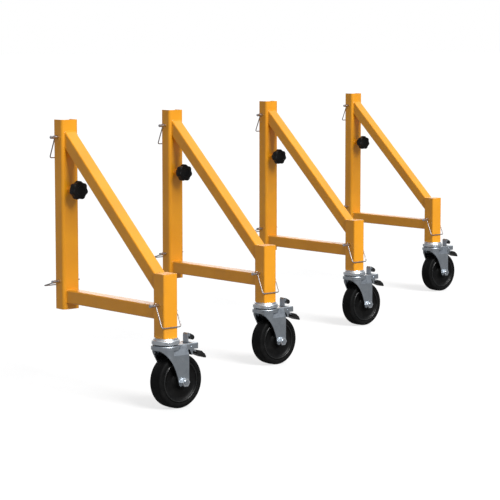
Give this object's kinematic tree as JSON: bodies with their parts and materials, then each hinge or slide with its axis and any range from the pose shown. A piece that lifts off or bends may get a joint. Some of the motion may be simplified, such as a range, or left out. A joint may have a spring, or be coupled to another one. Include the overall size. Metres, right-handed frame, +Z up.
{
  "type": "scaffold outrigger set",
  "caption": "Staggered row of alike orange scaffold outriggers: channel post, diagonal brace, rail and leg on a braked swivel caster, with a star knob and wire-lock pins.",
  "frame": {"origin": "middle of the set's footprint, on the floor", "axes": "+X outward from post to caster, +Y along the row, +Z up"},
  "size_m": [1.5066, 2.0882, 0.6487],
  "materials": {
    "frame_paint": "gloss orange-yellow enamel on steel tube",
    "knob_plastic": "black moulded plastic",
    "pin_steel": "bright zinc-plated steel",
    "wire_steel": "spring wire, zinc-plated",
    "zinc_plate": "zinc-plated pressed steel",
    "wheel_rubber": "black rubber tyre on a black moulded hub",
    "brake_steel": "dark plated steel lever with black pads"
  },
  "bodies": {
    "frames": {"clamp_nuts": "zinc_plate", "caster_stems": "zinc_plate", "raceway_caps": "zinc_plate", "raceway_balls": "pin_steel", "post_1": "frame_paint", "brace_1": "frame_paint", "rail_1": "frame_paint", "caster_leg_1": "frame_paint", "post_2": "frame_paint", "brace_2": "frame_paint", "rail_2": "frame_paint", "caster_leg_2": "frame_paint", "post_3": "frame_paint", "brace_3": "frame_paint", "rail_3": "frame_paint", "caster_leg_3": "frame_paint", "post_4": "frame_paint", "brace_4": "frame_paint", "rail_4": "frame_paint", "caster_leg_4": "frame_paint"},
    "clamp_knob_1": {"clamp_knob_1": "knob_plastic"},
    "upper_pin_1": {"upper_pin_1": "pin_steel"},
    "upper_pin_bail_1": {"upper_pin_bail_1": "wire_steel"},
    "lower_pin_1": {"lower_pin_1": "pin_steel"},
    "lower_pin_bail_1": {"lower_pin_bail_1": "wire_steel"},
    "leg_pin_1": {"leg_pin_1": "pin_steel"},
    "leg_pin_bail_1": {"leg_pin_bail_1": "wire_steel"},
    "caster_fork_1": {"caster_fork_1": "zinc_plate"},
    "caster_wheel_1": {"caster_wheel_1": "wheel_rubber"},
    "brake_lever_1": {"brake_lever_1": "brake_steel"},
    "clamp_knob_2": {"clamp_knob_2": "knob_plastic"},
    "upper_pin_2": {"upper_pin_2": "pin_steel"},
    "upper_pin_bail_2": {"upper_pin_bail_2": "wire_steel"},
    "lower_pin_2": {"lower_pin_2": "pin_steel"},
    "lower_pin_bail_2": {"lower_pin_bail_2": "wire_steel"},
    "leg_pin_2": {"leg_pin_2": "pin_steel"},
    "leg_pin_bail_2": {"leg_pin_bail_2": "wire_steel"},
    "caster_fork_2": {"caster_fork_2": "zinc_plate"},
    "caster_wheel_2": {"caster_wheel_2": "wheel_rubber"},
    "brake_lever_2": {"brake_lever_2": "brake_steel"},
    "clamp_knob_3": {"clamp_knob_3": "knob_plastic"},
    "upper_pin_3": {"upper_pin_3": "pin_steel"},
    "upper_pin_bail_3": {"upper_pin_bail_3": "wire_steel"},
    "lower_pin_3": {"lower_pin_3": "pin_steel"},
    "lower_pin_bail_3": {"lower_pin_bail_3": "wire_steel"},
    "leg_pin_3": {"leg_pin_3": "pin_steel"},
    "leg_pin_bail_3": {"leg_pin_bail_3": "wire_steel"},
    "caster_fork_3": {"caster_fork_3": "zinc_plate"},
    "caster_wheel_3": {"caster_wheel_3": "wheel_rubber"},
    "brake_lever_3": {"brake_lever_3": "brake_steel"},
    "clamp_knob_4": {"clamp_knob_4": "knob_plastic"},
    "upper_pin_4": {"upper_pin_4": "pin_steel"},
    "upper_pin_bail_4": {"upper_pin_bail_4": "wire_steel"},
    "lower_pin_4": {"lower_pin_4": "pin_steel"},
    "lower_pin_bail_4": {"lower_pin_bail_4": "wire_steel"},
    "leg_pin_4": {"leg_pin_4": "pin_steel"},
    "leg_pin_bail_4": {"leg_pin_bail_4": "wire_steel"},
    "caster_fork_4": {"caster_fork_4": "zinc_plate"},
    "caster_wheel_4": {"caster_wheel_4": "wheel_rubber"},
    "brake_lever_4": {"brake_lever_4": "brake_steel"}
  },
  "joints": [
    {"name": "caster_swivel_1", "type": "hinge", "parent": "frames", "child": "caster_fork_1", "pos_m": [0.71229, -0.99863, 0.149], "axis": [0, 0, 1], "continuous": true},
    {"name": "wheel_spin_1", "type": "hinge", "parent": "caster_fork_1", "child": "caster_wheel_1", "pos_m": [0.71229, -0.96963, 0.0635], "axis": [1, 0, 0], "continuous": true},
    {"name": "brake_press_1", "type": "hinge", "parent": "caster_fork_1", "child": "brake_lever_1", "pos_m": [0.71229, -0.93863, 0.14], "axis": [-1, 0, 0], "range_deg": [0, 12]},
    {"name": "knob_turn_1", "type": "hinge", "parent": "frames", "child": "clamp_knob_1", "pos_m": [0.37029, -0.99863, 0.481], "axis": [1, 0, 0], "continuous": true},
    {"name": "upper_pin_turn_1", "type": "hinge", "parent": "frames", "child": "upper_pin_1", "pos_m": [0.32829, -0.99863, 0.607], "axis": [0, 1, 0], "range_deg": [0, 250]},
    {"name": "upper_pin_bail_swing_1", "type": "hinge", "parent": "upper_pin_1", "child": "upper_pin_bail_1", "pos_m": [0.32829, -1.03063, 0.607], "axis": [0.4035, 0, 0.915], "range_deg": [0, 110]},
    {"name": "lower_pin_turn_1", "type": "hinge", "parent": "frames", "child": "lower_pin_1", "pos_m": [0.32829, -0.99863, 0.259], "axis": [0, 1, 0], "range_deg": [-50, 60]},
    {"name": "lower_pin_bail_swing_1", "type": "hinge", "parent": "lower_pin_1", "child": "lower_pin_bail_1", "pos_m": [0.32829, -1.03063, 0.259], "axis": [0.9613, 0, 0.2756], "range_deg": [0, 24]},
    {"name": "leg_pin_turn_1", "type": "hinge", "parent": "frames", "child": "leg_pin_1", "pos_m": [0.71229, -0.99863, 0.241], "axis": [0, -1, 0], "range_deg": [0, 130]},
    {"name": "leg_pin_bail_swing_1", "type": "hinge", "parent": "leg_pin_1", "child": "leg_pin_bail_1", "pos_m": [0.71229, -1.02613, 0.241], "axis": [0.4035, 0, -0.915], "range_deg": [0, 110]},
    {"name": "caster_swivel_2", "type": "hinge", "parent": "frames", "child": "caster_fork_2", "pos_m": [0.41429, -0.43763, 0.149], "axis": [0, 0, 1], "continuous": true},
    {"name": "wheel_spin_2", "type": "hinge", "parent": "caster_fork_2", "child": "caster_wheel_2", "pos_m": [0.41429, -0.40863, 0.0635], "axis": [1, 0, 0], "continuous": true},
    {"name": "brake_press_2", "type": "hinge", "parent": "caster_fork_2", "child": "brake_lever_2", "pos_m": [0.41429, -0.37763, 0.14], "axis": [-1, 0, 0], "range_deg": [0, 12]},
    {"name": "knob_turn_2", "type": "hinge", "parent": "frames", "child": "clamp_knob_2", "pos_m": [0.07229, -0.43763, 0.481], "axis": [1, 0, 0], "continuous": true},
    {"name": "upper_pin_turn_2", "type": "hinge", "parent": "frames", "child": "upper_pin_2", "pos_m": [0.03029, -0.43763, 0.607], "axis": [0, 1, 0], "range_deg": [0, 250]},
    {"name": "upper_pin_bail_swing_2", "type": "hinge", "parent": "upper_pin_2", "child": "upper_pin_bail_2", "pos_m": [0.03029, -0.46963, 0.607], "axis": [0.4035, 0, 0.915], "range_deg": [0, 110]},
    {"name": "lower_pin_turn_2", "type": "hinge", "parent": "frames", "child": "lower_pin_2", "pos_m": [0.03029, -0.43763, 0.259], "axis": [0, 1, 0], "range_deg": [-50, 60]},
    {"name": "lower_pin_bail_swing_2", "type": "hinge", "parent": "lower_pin_2", "child": "lower_pin_bail_2", "pos_m": [0.03029, -0.46963, 0.259], "axis": [0.9613, 0, 0.2756], "range_deg": [0, 24]},
    {"name": "leg_pin_turn_2", "type": "hinge", "parent": "frames", "child": "leg_pin_2", "pos_m": [0.41429, -0.43763, 0.241], "axis": [0, -1, 0], "range_deg": [0, 130]},
    {"name": "leg_pin_bail_swing_2", "type": "hinge", "parent": "leg_pin_2", "child": "leg_pin_bail_2", "pos_m": [0.41429, -0.46513, 0.241], "axis": [0.4035, 0, -0.915], "range_deg": [0, 110]},
    {"name": "caster_swivel_3", "type": "hinge", "parent": "frames", "child": "caster_fork_3", "pos_m": [0.07189, 0.20696, 0.149], "axis": [0, 0, 1], "continuous": true},
    {"name": "wheel_spin_3", "type": "hinge", "parent": "caster_fork_3", "child": "caster_wheel_3", "pos_m": [0.07189, 0.23595, 0.0635], "axis": [1, 0, 0], "continuous": true},
    {"name": "brake_press_3", "type": "hinge", "parent": "caster_fork_3", "child": "brake_lever_3", "pos_m": [0.07189, 0.26695, 0.14], "axis": [-1, 0, 0], "range_deg": [0, 12]},
    {"name": "knob_turn_3", "type": "hinge", "parent": "frames", "child": "clamp_knob_3", "pos_m": [-0.27011, 0.20696, 0.481], "axis": [1, 0, 0], "continuous": true},
    {"name": "upper_pin_turn_3", "type": "hinge", "parent": "frames", "child": "upper_pin_3", "pos_m": [-0.31211, 0.20696, 0.607], "axis": [0, 1, 0], "range_deg": [0, 250]},
    {"name": "upper_pin_bail_swing_3", "type": "hinge", "parent": "upper_pin_3", "child": "upper_pin_bail_3", "pos_m": [-0.31211, 0.17495, 0.607], "axis": [0.4035, 0, 0.915], "range_deg": [0, 110]},
    {"name": "lower_pin_turn_3", "type": "hinge", "parent": "frames", "child": "lower_pin_3", "pos_m": [-0.31211, 0.20696, 0.259], "axis": [0, 1, 0], "range_deg": [-50, 60]},
    {"name": "lower_pin_bail_swing_3", "type": "hinge", "parent": "lower_pin_3", "child": "lower_pin_bail_3", "pos_m": [-0.31211, 0.17495, 0.259], "axis": [0.9613, 0, 0.2756], "range_deg": [0, 24]},
    {"name": "leg_pin_turn_3", "type": "hinge", "parent": "frames", "child": "leg_pin_3", "pos_m": [0.07189, 0.20696, 0.241], "axis": [0, -1, 0], "range_deg": [0, 130]},
    {"name": "leg_pin_bail_swing_3", "type": "hinge", "parent": "leg_pin_3", "child": "leg_pin_bail_3", "pos_m": [0.07189, 0.17946, 0.241], "axis": [0.4035, 0, -0.915], "range_deg": [0, 110]},
    {"name": "caster_swivel_4", "type": "hinge", "parent": "frames", "child": "caster_fork_4", "pos_m": [-0.31492, 0.93513, 0.149], "axis": [0, 0, 1], "continuous": true},
    {"name": "wheel_spin_4", "type": "hinge", "parent": "caster_fork_4", "child": "caster_wheel_4", "pos_m": [-0.31492, 0.96413, 0.0635], "axis": [1, 0, 0], "continuous": true},
    {"name": "brake_press_4", "type": "hinge", "parent": "caster_fork_4", "child": "brake_lever_4", "pos_m": [-0.31492, 0.99513, 0.14], "axis": [-1, 0, 0], "range_deg": [0, 12]},
    {"name": "knob_turn_4", "type": "hinge", "parent": "frames", "child": "clamp_knob_4", "pos_m": [-0.65692, 0.93513, 0.481], "axis": [1, 0, 0], "continuous": true},
    {"name": "upper_pin_turn_4", "type": "hinge", "parent": "frames", "child": "upper_pin_4", "pos_m": [-0.69892, 0.93513, 0.607], "axis": [0, 1, 0], "range_deg": [0, 250]},
    {"name": "upper_pin_bail_swing_4", "type": "hinge", "parent": "upper_pin_4", "child": "upper_pin_bail_4", "pos_m": [-0.69892, 0.90313, 0.607], "axis": [0.4035, 0, 0.915], "range_deg": [0, 110]},
    {"name": "lower_pin_turn_4", "type": "hinge", "parent": "frames", "child": "lower_pin_4", "pos_m": [-0.69892, 0.93513, 0.259], "axis": [0, 1, 0], "range_deg": [-50, 60]},
    {"name": "lower_pin_bail_swing_4", "type": "hinge", "parent": "lower_pin_4", "child": "lower_pin_bail_4", "pos_m": [-0.69892, 0.90313, 0.259], "axis": [0.9613, 0, 0.2756], "range_deg": [0, 24]},
    {"name": "leg_pin_turn_4", "type": "hinge", "parent": "frames", "child": "leg_pin_4", "pos_m": [-0.31492, 0.93513, 0.241], "axis": [0, -1, 0], "range_deg": [0, 130]},
    {"name": "leg_pin_bail_swing_4", "type": "hinge", "parent": "leg_pin_4", "child": "leg_pin_bail_4", "pos_m": [-0.31492, 0.90763, 0.241], "axis": [0.4035, 0, -0.915], "range_deg": [0, 110]}
  ]
}
